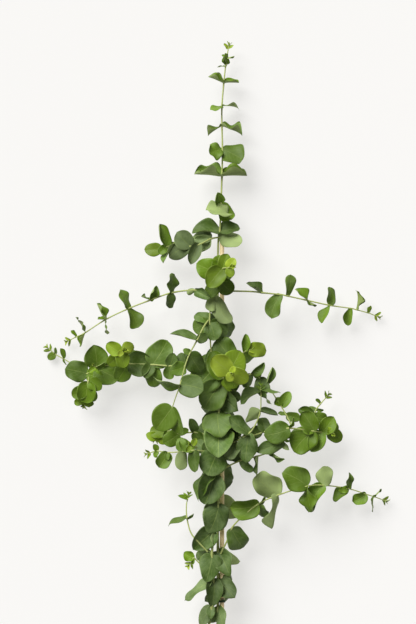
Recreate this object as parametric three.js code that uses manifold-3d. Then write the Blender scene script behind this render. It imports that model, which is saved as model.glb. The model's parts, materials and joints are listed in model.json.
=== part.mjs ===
// A cut, leafy eucalyptus branch tied to its cane, lying on its back.
// Millimetres. X runs across the branch, Y from the cut ends to the tip, Z up from the surface.

import * as THREE from 'three';
import { mergeVertices } from 'three/addons/utils/BufferGeometryUtils.js';
import Module from 'manifold-3d';

const wasm = await Module();
wasm.setup();

// Driving dimensions.
const GAP = 0.35; // clearance between neighbouring pieces
const CANE_RADIUS = 3.7;
const CANE_HEIGHT = 48; // of the cane's axis, above the origin of the tables below
const CANE_FOOT = -70;
const CANE_TOP = 618;
const CANE_SIDES = 12;
const TIE_HEIGHTS = [36, 214, 536]; // along the cane
const TIE_WIDTH = 5;
const TIE_THICK = 1;
const STEM_RADIUS = 2.2; // of an upright stem at its foot
const STEM_TIP_RADIUS = 1.1;
const SHOOT_RADIUS = 1.4; // of a side shoot where it leaves the stem
const SHOOT_TIP_RADIUS = 0.7;
const COLLAR_WALL = 1.2; // of the ring where a pair of leaves clasps its stem
const COLLAR_LENGTH = 4;
const FINE = 0.12; // detail smaller than this is smoothed away
const STEM_SIDES = 6;
const SHOOT_SIDES = 4;
const LEAF_THICK = 1;
const BUD_LENGTH = 17; // a leaf shorter than this is a simple bud leaf
const ROUND = 0.94; // width of a common leaf, over its length
const DROOP = 0.14; // how far the tip falls, over the leaf's length

// Outline of a leaf: rows of place along the midrib and half width, as shares.
const LEAF_ROWS = [[0, 0.05], [0.24, 0.9], [0.68, 0.9], [1, 0.14]];
const BUD_ROWS = [[0, 0.1], [0.5, 1], [1, 0.15]];

// A leaf that would meet a neighbour lifts or rolls a little, trying these turns in order.
const LIFTS = [0, 9, -9, 18, -18, 27, -27, 38, -38];
const ROLLS = [0, 16, -16];

// The tables list a stem's nodes from foot to tip, each as its place and then its leaves.
// A leaf is [length, heading, lift, roll, width]. Heading is its compass direction in the
// XY plane, lift its angle out of it, and roll its turn about its midrib in degrees, where
// 0 shows the upper face from above, 90 is edge-on and 180 shows the underside.
const MAIN_STEM = [
  [-12, -64, 47],
  [-7, 0, 48],
  [-6.6, 27, 48, [36, -80, -2, 40, 0.6], [36, 244, 6, 0, 0.66]],
  [-6.6, 52, 48, [32, -38, 0, 0, 0.7], [28, 215, -12, 40, 0.7]],
  [-6.6, 72, 48, [43, -50, 10, 0, 0.7], [38, 12, -8, 0, 0.62]],
  [-6.6, 116, 48, [45, -68, 14, 0, 0.74], [46, -30, 2, 145, 0.5]],
  [-6.6, 192, 48, [46, -36, 4, 160, 0.8], [42, 262, -8, 0, 0.6]],
  [-6.6, 246, 48, [45, -64, 12, 0, 0.84], [42, -40, 2, 0, 0.9], [36, 150, -42, 20]],
  [-6.6, 286, 48, [30, -58, 28, 140, 0.5], [36, 20, -34, 0]],
  [-6.6, 331, 48, [38, -20, 6, 0, 0.8], [30, 200, -20, 0, 0.8]],
  [-6.6, 356, 48, [42, 232, -4, 0, 0.84], [32, -30, 4, 0]],
  [-6.6, 488, 48, [42, -40, 8, 0, 0.88], [30, 205, -30, 0], [30, 56, 10, 20, 0.7]],
  [-6.2, 604, 49],
  [-3.4, 628, 51, [44, 176, 12, 52, 0.8], [32, 16, 6, -46], [42, -36, 14, 150, 0.62]],
  [-1.6, 674, 48, [36, 256, 46, 168, 1.1], [32, -56, 10, -28, 0.84], [21, 108, 46, 0, 1.2]],
  [0, 717, 44, [44, 168, 8, 66, 1], [40, 6, 8, -70, 0.9]],
  [0.8, 760, 42, [26, 198, 36, 24], [38, -28, 14, -14]],
  [0, 798, 40, [27, 206, 6, 78, 0.7], [35, -13, 6, -72, 0.8]],
  [0, 830, 38, [22, 196, 40, 60, 0.84], [27, 5, 4, -80, 0.8]],
  [3, 867, 36, [27, 152, 16, 58, 0.8], [25, 4, 18, -56, 0.8]],
  [5.6, 893, 34],
];
const SECOND_STEM = [
  [-32, -60, 52],
  [-16, 28, 57, [37, 240, 6, 16, 0.62], [20, 266, 22, 0, 0.7]],
  [-14, 73, 58, [44, 266, 12, 0, 0.7], [56, 210, -2, 70, 0.32]],
  [-16, 111, 59, [44, 257, 12, 0, 0.8], [34, 197, -8, 0, 0.8]],
  [-13, 150, 60, [45, 223, 10, 0, 0.86], [28, 262, 34, 120, 0.4]],
  [-6, 194, 61, [50, 251, 12, 0, 0.84], [34, 226, -12, 0, 0.8]],
  [-14, 241, 62, [50, 253, 12, 0, 0.9], [50, 233, -2, 44, 0.7]],
  [-6, 278, 63, [45, 250, 14, 0, 0.95], [26, 150, -30, 0]],
  [-4, 310, 64, [46, 268, 36, 0, 1.08], [26, 60, -34, 0]],
  [-5, 339, 65, [42, 276, 38, 0, 1.06], [34, 236, -20, 0]],
  [0, 384, 66, [48, 236, 8, 0, 0.98], [30, 40, -24, 0, 0.8]],
  [-14, 412, 66, [50, 228, 6, 0, 0.96], [30, 120, -24, 0]],
  [-20, 482, 65, [27, 150, 24, 52, 0.76], [29, 203, 2, 0, 0.96], [30, -75, 20, 0], [34, -36, -4, 0, 0.9]],
  [-15, 528, 62, [56, -60, 10, 158, 0.5], [30, -94, 16, 164, 0.66]],
];
const SHOOTS = {
  leader_tip: [
    [5.6, 894, 34, [13, 176, 10, 70, 0.6]],
    [7, 897, 36, [18, 84, 28, 40, 0.66], [15, 106, 8, -40, 0.6]],
    [8.4, 908, 37, [12, 4, 14, 70, 0.4], [10, 150, 20, 40, 0.5]],
    [9, 915, 38],
    [10, 921, 38],
  ],
  top_left_spray: [
    [-4, 619, 54],
    [-18, 616, 62, [31, 166, 20, 16, 0.84], [32, 212, 12, 0, 0.9]],
    [-36, 607, 68, [34, 246, 12, 0, 0.76]],
    [-50, 604, 66, [31, 134, 10, 0, 1.02], [38, 206, 6, 10, 0.68]],
    [-74, 609, 62, [37, 231, 6, 76, 0.6]],
    [-89, 603, 60, [38, 104, 10, 38, 0.66], [16, 226, 20, 0]],
    [-97, 601, 58, [27, 184, 0, 0, 0.8]],
  ],
  bright_shoot: [
    [-3, 542, 54],
    [-4, 550, 76, [34, 234, -16, 20, 0.7], [30, -44, -14, 0], [30, 62, -24, 0]],
    [-5, 563, 98, [37, 160, 12, 0, 0.92], [26, 88, 4, 0, 0.9]],
    [1, 568, 108, [37, 231, 10, 0, 0.92], [24, 72, 12, 0, 0.9]],
    [9, 569, 116, [18, 52, 16, 0, 0.94], [16, -66, 14, 0, 0.9]],
    [13, 570, 122],
  ],
  left_arching_shoot: [
    [-19, 529, 64],
    [-42, 534, 68, [27, -28, 12, 0], [15, 202, 4, 176, 0.9]],
    [-80, 530, 66, [30, 78, 14, 46, 0.7], [25, 262, 10, -34, 0.8]],
    [-115, 518, 60, [25, 62, 12, 24, 0.86], [16, 152, 20, 76, 0.6]],
    [-149, 505, 52, [32, 106, 10, 44, 0.62], [34, -62, 6, -30, 0.62]],
    [-187, 487, 42, [29, 110, 10, 48, 0.6], [13, 168, 20, 78, 0.6], [23, 266, 4, 80, 0.6]],
    [-220, 466, 32, [29, 114, 8, 76, 0.5], [24, 250, 4, 62, 0.6]],
    [-235, 459, 28, [13, 118, 20, 40, 0.6]],
    [-243, 455, 26],
  ],
  right_arching_shoot: [
    [-2, 533, 58],
    [45, 532, 63],
    [64, 530, 63, [28, 138, 16, 40, 0.9]],
    [94, 527, 58, [40, 246, 8, 18, 0.62]],
    [104, 525, 57, [34, 76, 10, 34, 0.5]],
    [136, 518, 49, [25, 124, 12, 56, 0.7], [18, -36, 12, 64, 0.6]],
    [173, 510, 41, [29, 88, 6, 22, 0.62], [31, 236, 8, 64, 0.5]],
    [208, 505, 31, [28, 258, 0, 10, 0.7]],
    [216, 503, 29, [30, 76, 12, 82, 0.5]],
    [235, 498, 25, [12, 62, 20, 20, 0.6]],
    [246, 494, 23],
  ],
  left_spray: [
    [-22, 416, 64],
    [-59, 413, 66, [26, 196, 26, 0, 0.9], [22, 108, 8, 0, 0.8]],
    [-83, 413, 64, [22, 72, 20, 0], [22, 262, -8, 10]],
    [-112, 415, 58, [45, 58, 4, 0, 0.9], [38, -86, -8, 10, 0.74], [24, 240, 12, 0, 0.9]],
    [-150, 416, 50, [38, 4, 18, 0, 1.2], [34, 238, -8, 0, 0.84], [28, 62, -26, 0]],
    [-202, 411, 41, [41, -28, 10, 0, 1], [36, 96, 22, 0, 1.1]],
    [-217, 400, 37, [35, 168, 12, 0, 0.98], [28, -12, 22, 0, 0.9]],
    [-229, 409, 30],
    [-242, 416, 26],
    [-256, 424, 22, [17, 98, 10, 56, 0.6], [11, -70, 10, 50, 0.5]],
    [-269, 431, 20, [14, 214, 4, 0, 0.9], [11, 84, 10, 40, 0.6]],
    [-276, 437, 20],
  ],
  left_yellow_shoot: [
    [-162, 420, 52],
    [-165, 428, 66, [22, 218, -6, 0], [22, -50, -10, 0]],
    [-162, 434, 78, [26, 146, 4, 0, 0.96], [24, -74, 6, 0, 0.96]],
    [-157, 437, 86, [19, 38, 4, 0, 1], [11, 226, 20, 0, 0.9]],
  ],
  left_hanging_shoot: [
    [-214, 394, 44],
    [-214, 388, 58, [24, -30, 6, 0, 0.9], [35, 264, -4, 0, 1]],
    [-217, 374, 52, [26, 200, -6, 0, 0.9], [22, -50, 4, 0, 0.9]],
    [-221, 359, 38, [18, 206, -4, 0, 0.8], [17, -30, 4, 10, 0.8]],
    [-221, 354, 36],
  ],
  left_curled_shoot: [
    [-196, 408, 48],
    [-200, 410, 62, [16, 30, 20, 30, 0.9], [15, 210, 10, 20, 0.9]],
    [-203, 413, 72],
    [-204, 414, 78],
  ],
  drooping_twig: [
    [-22, 486, 66],
    [-30, 474, 78],
    [-40, 454, 88, [43, 160, 6, 56, 0.52], [20, 32, -14, 0, 0.8]],
    [-51, 434, 92, [38, -58, -14, 0, 0.8], [12, 150, 20, 0]],
    [-58, 416, 94],
    [-67, 383, 92, [42, 170, 6, -48, 0.6], [39, -12, 20, 0, 0.94]],
    [-73, 366, 88],
    [-79, 348, 84, [44, 234, 4, 0, 0.94], [45, -78, -4, 48, 0.66]],
  ],
  lower_left_shoot: [
    [-10, 274, 56],
    [-26, 277, 70, [17, 76, 30, 0, 0.94], [26, 138, -20, 0, 0.8]],
    [-45, 279, 78, [34, 268, 8, 24, 0.74], [28, 140, -10, 0, 0.8]],
    [-62, 277, 74, [30, 260, 8, 165, 0.7], [22, 96, 6, 10, 0.8]],
    [-86, 275, 66, [28, 238, 2, 0, 0.94], [12, 268, 20, 20]],
    [-104, 277, 58, [12, 116, 16, 20, 0.8], [11, 250, 10, 20, 0.8]],
    [-114, 274, 54],
  ],
  lower_left_twig: [
    [-14, 300, 46, [36, 128, -6, 0, 0.84]],
    [-44, 306, 44, [24, 108, 26, 14, 0.66], [24, -60, 4, 0]],
    [-70, 304, 40, [18, 24, 24, 0, 0.7], [28, 212, 10, 0]],
    [-86, 308, 36, [30, 186, 2, 0, 0.8], [20, 262, 6, 0, 0.8]],
    [-102, 298, 34, [20, 168, 14, 0, 0.8], [16, -40, 10, 0]],
  ],
  bright_tip_shoot: [
    [-40, 284, 86],
    [-48, 288, 98, [13, 60, 10, 10, 0.8], [13, 226, 10, 10, 0.8]],
    [-50, 290, 106],
  ],
  right_bright_shoot: [
    [-3, 386, 54],
    [2, 394, 76, [46, 112, -8, 0, 0.8], [24, -66, 4, 70, 0.5]],
    [9, 401, 98, [42, 62, -6, 0, 0.92], [26, -60, -8, 0]],
    [12, 405, 112, [36, 142, 8, 0, 1], [32, -24, 8, 0, 0.86]],
    [14, 404, 124, [15, -110, 14, 0], [12, 60, 30, 0, 0.8]],
  ],
  right_upper_twig: [
    [-3, 402, 54, [42, 112, -10, 0, 0.9], [36, 168, -16, 0, 0.9]],
    [18, 420, 64, [44, 128, -6, 0, 0.84], [24, -40, -26, 0]],
    [36, 436, 68, [28, 84, 8, 20, 0.66], [24, -64, -30, 0]],
    [42, 438, 68, [28, -2, 6, 0, 0.92]],
  ],
  right_dark_twig: [
    [-2, 368, 54, [40, -48, -2, 0, 0.84], [34, -12, -16, 20, 0.8]],
    [26, 386, 58, [26, 220, -14, 0, 0.8]],
    [46, 400, 60, [28, 38, 10, 16, 0.7], [24, 242, 6, 0, 0.7]],
    [60, 394, 58, [28, -74, 14, 0, 0.9], [14, 130, 20, 20]],
    [70, 386, 55, [27, 62, 4, 44, 0.66]],
    [86, 362, 48, [12, -60, 10, 60, 0.6]],
  ],
  right_wavy_twig: [
    [-2, 286, 56, [38, -30, -8, 20, 0.8]],
    [20, 292, 68, [30, -110, 14, 20], [28, 100, -14, 0]],
    [43, 306, 74, [42, 138, 8, 36, 0.64], [46, 260, 10, 18, 0.64]],
    [54, 322, 75],
    [61, 341, 74, [29, 212, 6, 150, 0.66], [28, -8, 10, -44, 0.62]],
    [62, 360, 72],
    [62, 374, 70, [38, 206, 14, 52, 0.5], [30, 6, 10, -74, 0.5], [27, -62, 0, 56, 0.5]],
  ],
  right_oval_twig: [
    [110, 320, 66],
    [103, 334, 62, [23, -14, 10, 10, 0.7], [14, 160, 10, 40, 0.6]],
    [95, 348, 60, [27, 60, 2, 0, 0.74]],
  ],
  right_spray: [
    [-2, 298, 52, [36, 26, -14, 0, 0.84]],
    [43, 300, 54, [27, 30, -16, 0, 0.8]],
    [69, 308, 64, [26, 104, -24, 0, 0.8]],
    [107, 314, 72, [40, 194, 10, 6, 0.84], [18, 60, 10, 60, 0.6]],
    [146, 309, 66, [36, 122, 2, 0, 0.88], [46, 228, -4, 0, 0.9], [18, 170, 24, 20, 0.8]],
    [159, 307, 58, [35, 242, 10, 0, 0.9], [31, 52, 10, 0, 0.92]],
    [170, 306, 52, [26, -30, -8, 10, 0.84], [22, 40, -14, 20, 0.8]],
    [174, 305, 60, [11, 110, 20, 0, 0.9]],
  ],
  right_tip_twig: [
    [143, 318, 60],
    [146, 330, 54, [27, 150, -4, 10, 0.8], [24, -8, -12, 0, 0.8]],
    [151, 343, 50, [14, 170, 8, 20, 0.6], [12, -8, 8, 20, 0.6]],
    [158, 352, 48, [11, 130, 10, 30, 0.6]],
    [166, 361, 46],
  ],
  right_lower_twig: [
    [-3, 246, 54],
    [30, 262, 60, [26, -46, 4, 10, 0.6], [22, 120, -20, 0]],
    [58, 269, 60, [30, 262, -4, 76, 0.5]],
    [78, 277, 60, [25, -42, 4, 58, 0.5], [20, 140, -20, 0]],
    [98, 293, 60, [45, 198, 18, 10, 0.5], [17, -62, 4, 150, 0.6]],
  ],
  right_low_spray: [
    [-2, 112, 54],
    [10, 138, 62, [16, -50, -10, 30, 0.6]],
    [16, 155, 68, [42, -60, -14, 0, 0.8]],
    [30, 171, 74],
    [58, 194, 78, [45, 189, 4, -14, 0.94], [15, 34, 10, 66, 0.5], [30, -84, -30, 30]],
    [90, 208, 75, [50, 134, 8, 166, 0.8], [56, 258, -10, 118, 0.5]],
    [135, 221, 67, [44, 150, 16, 8, 0.96], [40, -88, 0, 56, 0.6]],
    [162, 222, 57, [32, 74, 8, 152, 0.84], [48, 236, 4, 24, 0.72]],
    [202, 216, 43, [25, 78, 10, 36, 0.6], [30, 216, 4, 30, 0.62], [15, 186, 30, 10, 0.8]],
    [232, 206, 33, [25, 206, 10, 0, 0.96]],
    [244, 202, 28, [18, 42, 10, 56, 0.5], [25, 260, -4, 74, 0.4]],
    [258, 197, 26],
  ],
  left_low_twig: [
    [-23, 116, 60],
    [-38, 132, 62],
    [-50, 147, 62],
    [-56, 170, 60, [31, 194, 4, 50, 0.5], [13, 30, 20, 40, 0.6]],
    [-57, 189, 58],
    [-55, 200, 56, [16, 158, 10, 20, 0.6]],
  ],
  left_bud_twig: [
    [-24, 90, 58],
    [-36, 98, 60],
    [-45, 106, 60, [18, 152, 0, 0, 1], [10, 260, 10, 20, 0.8]],
    [-49, 100, 60],
  ],
};

const LOOKS = {
  leaf: { color: 0x5f7a45, roughness: 0.6 },
  shoot: { color: 0x6f9248, roughness: 0.6 },
  stem: { color: 0xa9b56a, roughness: 0.7 },
  cane: { color: 0xd2b484, roughness: 0.65 },
  tie: { color: 0x34402c, roughness: 0.8 },
};

// Turns a closed surface into a solid that can be joined and cut.
function solidOf(geometry) {
  geometry.deleteAttribute('normal');
  geometry.deleteAttribute('uv');
  const merged = mergeVertices(geometry, 1e-4);
  return new wasm.Manifold(new wasm.Mesh({
    numProp: 3,
    vertProperties: new Float32Array(merged.attributes.position.array),
    triVerts: new Uint32Array(merged.index.array),
  }));
}

// Moves every vertex of a geometry to where the given function sends it.
function reshape(geometry, send) {
  const place = geometry.attributes.position;
  for (let i = 0; i < place.count; i++) {
    const point = send(place.getX(i), place.getY(i), place.getZ(i));
    place.setXYZ(i, point.x, point.y, point.z);
  }
  return geometry;
}

// A closed round tube through the given points that tapers from foot to tip.
function tube(nodes, footRadius, tipRadius, sides, margin = 0) {
  const curve = new THREE.CatmullRomCurve3(nodes.map(([x, y, z]) => new THREE.Vector3(x, y, z)));
  const steps = nodes.length - 1;
  const frames = curve.computeFrenetFrames(steps, false);
  const cylinder = new THREE.CylinderGeometry(1, 1, steps, sides, steps);
  return solidOf(reshape(cylinder, (x, y, z) => {
    const step = Math.round(y + steps / 2);
    const radius = footRadius + (tipRadius - footRadius) * step / steps + margin;
    return curve.getPointAt(step / steps)
      .addScaledVector(frames.normals[step], x * radius)
      .addScaledVector(frames.binormals[step], -z * radius);
  }));
}

// The directions of a leaf: along its midrib, across it, and out of its upper face.
function leafAxes(heading, lift, roll) {
  const turn = new THREE.Matrix4().makeRotationZ(THREE.MathUtils.degToRad(heading));
  turn.multiply(new THREE.Matrix4().makeRotationY(-THREE.MathUtils.degToRad(lift)));
  turn.multiply(new THREE.Matrix4().makeRotationX(THREE.MathUtils.degToRad(roll)));
  const axes = [new THREE.Vector3(), new THREE.Vector3(), new THREE.Vector3()];
  turn.extractBasis(...axes);
  return axes;
}

// One leaf: a thin plate with a leaf's outline, drooping along its length.
function leaf(base, [length, heading, lift, roll, width = ROUND], margin = 0) {
  const rows = length < BUD_LENGTH ? BUD_ROWS : LEAF_ROWS;
  const count = rows.length - 1;
  const [along, across, out] = leafAxes(heading, lift, roll);
  const plate = new THREE.BoxGeometry(count, 2, 2, count, 1, 1);
  return solidOf(reshape(plate, (x, y, z) => {
    const [share, half] = rows[Math.round(x + count / 2)];
    const ends = share === 0 ? -margin : share === 1 ? margin : 0;
    return new THREE.Vector3(...base)
      .addScaledVector(along, length * share + ends)
      .addScaledVector(across, y * (half * width * length / 2 + margin))
      .addScaledVector(out, z * (LEAF_THICK / 2 + margin) - length * DROOP * share * share);
  }));
}

// The band that holds a stem against the cane, as an oval ring round both.
function tie(height) {
  const inner = CANE_RADIUS + GAP;
  const reach = CANE_RADIUS + STEM_RADIUS + GAP;
  const oval = (radius, kind) => new kind()
    .absarc(0, 0, radius, -Math.PI / 2, Math.PI / 2, false)
    .absarc(-reach, 0, radius, Math.PI / 2, -Math.PI / 2, false);
  const band = oval(inner + TIE_THICK, THREE.Shape);
  band.holes.push(oval(inner, THREE.Path));
  const ring = new THREE.ExtrudeGeometry(band, { depth: TIE_WIDTH, bevelEnabled: false, curveSegments: 4 });
  ring.rotateX(-Math.PI / 2);
  ring.translate(0, height - TIE_WIDTH / 2, CANE_HEIGHT);
  return solidOf(ring);
}

// The pieces placed so far, each with the larger body that its neighbours stay out of.
const placed = [];

function place(node, thin, fat) {
  const piece = { node, thin, fat, box: fat.boundingBox() };
  placed.push(piece);
  return piece;
}

function boxesMeet(a, b) {
  return [0, 1, 2].every((axis) => a.min[axis] < b.max[axis] && b.min[axis] < a.max[axis]);
}

// The placed pieces of other nodes that a solid comes near.
function neighbours(solid, node, own) {
  const box = solid.boundingBox();
  return placed.filter((piece) => piece.node !== node && piece.node !== own && boxesMeet(box, piece.box));
}

function overlap(solid, pieces) {
  return pieces.reduce((sum, piece) => sum + solid.intersect(piece.fat).volume(), 0);
}

function largestBody(solid) {
  return solid.decompose().sort((a, b) => b.volume() - a.volume())[0];
}

// Cuts a solid back from its neighbours and keeps its largest body.
function trim(solid, pieces) {
  return largestBody(pieces.reduce((body, piece) => body.subtract(piece.fat), solid));
}

// The leaf as listed, or its first turn that is clear, or else the turn that meets least.
function settle(base, row, node, own) {
  let best = null;
  for (const roll of ROLLS) {
    for (const lift of LIFTS) {
      const [length, heading, ...rest] = row;
      const turned = [length, heading, rest[0] + lift, rest[1] + roll, rest[2]];
      const thin = leaf(base, turned);
      const shared = overlap(thin, neighbours(thin, node, own));
      if (best === null || shared < best.shared) best = { thin, turned, shared };
      if (shared === 0) return best;
    }
  }
  return best;
}

function addLeaves(node, rows, own) {
  return rows.flatMap(([x, y, z, ...leaves]) => leaves.map((row) => {
    const base = [x, y, z];
    const { thin, turned } = settle(base, row, node, own);
    return place(node, trim(thin, neighbours(thin, node, own)), leaf(base, turned, GAP)).thin;
  }));
}

// The ring round a stem that a pair of leaves grows from.
function collar(stem, index, radius, margin = 0) {
  const [before, here, after] = [stem[index - 1], stem[index], stem[index + 1] ?? stem[index]];
  const middle = new THREE.Vector3(...here);
  const along = new THREE.Vector3(...after).sub(new THREE.Vector3(...before)).normalize();
  const reach = COLLAR_LENGTH / 2 + margin;
  const ends = [-reach, reach].map((far) => middle.clone().addScaledVector(along, far).toArray());
  return tube(ends, radius + margin, radius + margin, STEM_SIDES);
}

const group = new THREE.Group();

function add(name, solid, look) {
  const { vertProperties, triVerts } = largestBody(solid.simplify(FINE)).getMesh();
  const geometry = new THREE.BufferGeometry();
  geometry.setAttribute('position', new THREE.BufferAttribute(vertProperties, 3));
  geometry.setIndex(new THREE.BufferAttribute(triVerts, 1));
  geometry.computeVertexNormals();
  const mesh = new THREE.Mesh(geometry, new THREE.MeshStandardMaterial({ ...look, metalness: 0 }));
  mesh.name = name;
  group.add(mesh);
}

// Cane and ties.
const caneEnds = [[0, CANE_FOOT, CANE_HEIGHT], [0, CANE_TOP, CANE_HEIGHT]];
const caneShape = [caneEnds, CANE_RADIUS, CANE_RADIUS, CANE_SIDES];
const cane = tube(...caneShape);
place('cane', cane, tube(...caneShape, GAP));
add('cane', cane, LOOKS.cane);
TIE_HEIGHTS.forEach((height, index) => {
  const band = tie(height);
  const name = `tie_${index + 1}`;
  place(name, band, band);
  add(name, band, LOOKS.tie);
});

// Upright stems, and the rings on them.
const pairs = [];
for (const [name, rows] of [['main_stem', MAIN_STEM], ['second_stem', SECOND_STEM]]) {
  const radii = [STEM_RADIUS, STEM_TIP_RADIUS, STEM_SIDES];
  const upright = tube(rows, ...radii);
  const stem = trim(upright, neighbours(upright, name));
  const near = tube(rows, ...radii, GAP);
  place(name, stem, near);
  add(name, stem, LOOKS.stem);
  rows.forEach((row, index) => {
    if (row.length === 3) return;
    const share = index / (rows.length - 1);
    const radius = THREE.MathUtils.lerp(STEM_RADIUS, STEM_TIP_RADIUS, share) + COLLAR_WALL;
    const label = `${name === 'main_stem' ? 'main' : 'second'}_pair_${pairs.length + 1}`;
    const round = collar(rows, index, radius);
    const ring = trim(round, [...neighbours(round, label, name), { fat: near }]);
    place(label, ring, collar(rows, index, radius, GAP));
    pairs.push({ label, ring, row, stem: name, near });
  });
}

// Side shoots, each with its leaves as one grown body.
const shoots = Object.entries(SHOOTS).map(([name, rows]) => {
  const radii = [SHOOT_RADIUS, SHOOT_TIP_RADIUS, SHOOT_SIDES];
  const whole = tube(rows, ...radii);
  const stem = trim(whole, neighbours(whole, name));
  place(name, stem, tube(rows, ...radii, GAP));
  return { name, rows, stem };
});
// The second stem's pairs lie in front, so they take their places before the main stem's.
for (const { label, ring, row, stem, near } of pairs.reverse()) {
  const blades = addLeaves(label, [row], stem);
  const joined = blades.reduce((body, blade) => body.add(blade), ring);
  add(label, trim(joined, [{ fat: near }]), LOOKS.leaf);
}
for (const { name, rows, stem } of shoots) {
  const blades = addLeaves(name, rows);
  add(name, blades.reduce((body, blade) => body.add(blade), stem), LOOKS.shoot);
}

// The origin is at the middle of the underside.
const bounds = new THREE.Box3().setFromObject(group);
const centre = bounds.getCenter(new THREE.Vector3());
group.position.set(-centre.x, -centre.y, -bounds.min.z);

export default group;
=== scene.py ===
"""A cut, leafy eucalyptus branch tied to its cane, lying on its back.

Leaves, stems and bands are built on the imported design's own places. X runs across the branch,
Y from the cut ends to the leader's tip, and Z up from the surface that it lies on.
"""

import json
import math

import bpy
from mathutils import Matrix, Vector, kdtree


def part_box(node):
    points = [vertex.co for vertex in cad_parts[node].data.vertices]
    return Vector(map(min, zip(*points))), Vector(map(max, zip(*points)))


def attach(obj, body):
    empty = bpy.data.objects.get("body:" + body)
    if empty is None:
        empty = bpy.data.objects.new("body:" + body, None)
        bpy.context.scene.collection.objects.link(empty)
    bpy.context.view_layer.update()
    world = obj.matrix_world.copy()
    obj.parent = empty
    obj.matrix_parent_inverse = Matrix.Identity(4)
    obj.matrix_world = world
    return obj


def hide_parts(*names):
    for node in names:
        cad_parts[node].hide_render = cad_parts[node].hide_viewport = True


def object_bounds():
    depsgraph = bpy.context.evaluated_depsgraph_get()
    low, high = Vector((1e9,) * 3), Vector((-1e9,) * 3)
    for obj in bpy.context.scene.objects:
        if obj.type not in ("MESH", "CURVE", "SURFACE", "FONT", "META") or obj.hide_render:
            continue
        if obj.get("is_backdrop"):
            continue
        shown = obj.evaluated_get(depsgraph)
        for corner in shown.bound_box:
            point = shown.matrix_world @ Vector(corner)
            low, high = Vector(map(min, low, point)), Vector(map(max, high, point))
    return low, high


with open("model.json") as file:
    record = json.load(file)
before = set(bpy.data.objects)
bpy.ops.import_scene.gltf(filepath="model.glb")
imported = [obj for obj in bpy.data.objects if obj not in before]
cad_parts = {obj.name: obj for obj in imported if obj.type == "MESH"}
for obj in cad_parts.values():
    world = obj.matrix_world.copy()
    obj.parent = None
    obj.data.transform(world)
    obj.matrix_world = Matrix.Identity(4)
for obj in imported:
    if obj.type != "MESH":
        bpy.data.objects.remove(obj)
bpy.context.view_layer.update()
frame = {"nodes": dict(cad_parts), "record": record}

bl_info = {
    "name": "Eucalyptus branch",
    "version": (1, 0, 0),
    "blender": (4, 5, 0),
    "location": "View3D > Sidebar > Branch",
    "description": "Builds a leafy eucalyptus branch with its cane around a packed design",
    "category": "Add Mesh",
}

BODY = "root"
MM = 0.001  # the tables below are in millimetres

# The design's own sizes, which the places of leaves and stems are worked out from.
CANE_RADIUS = 3.7
CANE_HEIGHT = 48
CANE_FOOT = -70
CANE_TOP = 618
TIE_HEIGHTS = [36, 214, 536]
STEM_RADIUS = 2.2
STEM_TIP_RADIUS = 1.1
SHOOT_RADIUS = 1.4
SHOOT_TIP_RADIUS = 0.7
LEAF_THICK = 1
BUD_LENGTH = 17
ROUND = 0.94
DROOP = 0.14
LEAF_ROWS = [[0, 0.05], [0.24, 0.9], [0.68, 0.9], [1, 0.14]]
BUD_ROWS = [[0, 0.1], [0.5, 1], [1, 0.15]]
LIFTS = [0, 9, -9, 18, -18, 27, -27, 38, -38]
ROLLS = [0, 16, -16]
GAP = 0.35
SAME_CORNER = 0.0001  # metres between a worked-out corner and the design's own

# Detail that the design leaves out.
CANE_JOINTS = [40, 235, 424, 588]  # along the cane
CANE_STEPS = 344
TIE_WIRE = 0.8  # radius
TIP_LENGTH = 6  # of the bare tip beyond a shoot's last leaves

# A stem's nodes from foot to tip, each as its place and then its leaves. A leaf is
# [length, heading, lift, roll, width]: heading is its compass direction in the XY plane,
# lift its angle out of it and roll its turn about its midrib, in degrees.
MAIN_STEM = [
    [-12, -64, 47],
    [-7, 0, 48],
    [-6.6, 27, 48, [36, -80, -2, 40, 0.6], [36, 244, 6, 0, 0.66]],
    [-6.6, 52, 48, [32, -38, 0, 0, 0.7], [28, 215, -12, 40, 0.7]],
    [-6.6, 72, 48, [43, -50, 10, 0, 0.7], [38, 12, -8, 0, 0.62]],
    [-6.6, 116, 48, [45, -68, 14, 0, 0.74], [46, -30, 2, 145, 0.5]],
    [-6.6, 192, 48, [46, -36, 4, 160, 0.8], [42, 262, -8, 0, 0.6]],
    [-6.6, 246, 48, [45, -64, 12, 0, 0.84], [42, -40, 2, 0, 0.9], [36, 150, -42, 20]],
    [-6.6, 286, 48, [30, -58, 28, 140, 0.5], [36, 20, -34, 0]],
    [-6.6, 331, 48, [38, -20, 6, 0, 0.8], [30, 200, -20, 0, 0.8]],
    [-6.6, 356, 48, [42, 232, -4, 0, 0.84], [32, -30, 4, 0]],
    [-6.6, 488, 48, [42, -40, 8, 0, 0.88], [30, 205, -30, 0], [30, 56, 10, 20, 0.7]],
    [-6.2, 604, 49],
    [-3.4, 628, 51, [44, 176, 12, 52, 0.8], [32, 16, 6, -46], [42, -36, 14, 150, 0.62]],
    [-1.6, 674, 48, [36, 256, 46, 168, 1.1], [32, -56, 10, -28, 0.84], [21, 108, 46, 0, 1.2]],
    [0, 717, 44, [44, 168, 8, 66, 1], [40, 6, 8, -70, 0.9]],
    [0.8, 760, 42, [26, 198, 36, 24], [38, -28, 14, -14]],
    [0, 798, 40, [27, 206, 6, 78, 0.7], [35, -13, 6, -72, 0.8]],
    [0, 830, 38, [22, 196, 40, 60, 0.84], [27, 5, 4, -80, 0.8]],
    [3, 867, 36, [27, 152, 16, 58, 0.8], [25, 4, 18, -56, 0.8]],
    [5.6, 893, 34],
]
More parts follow.
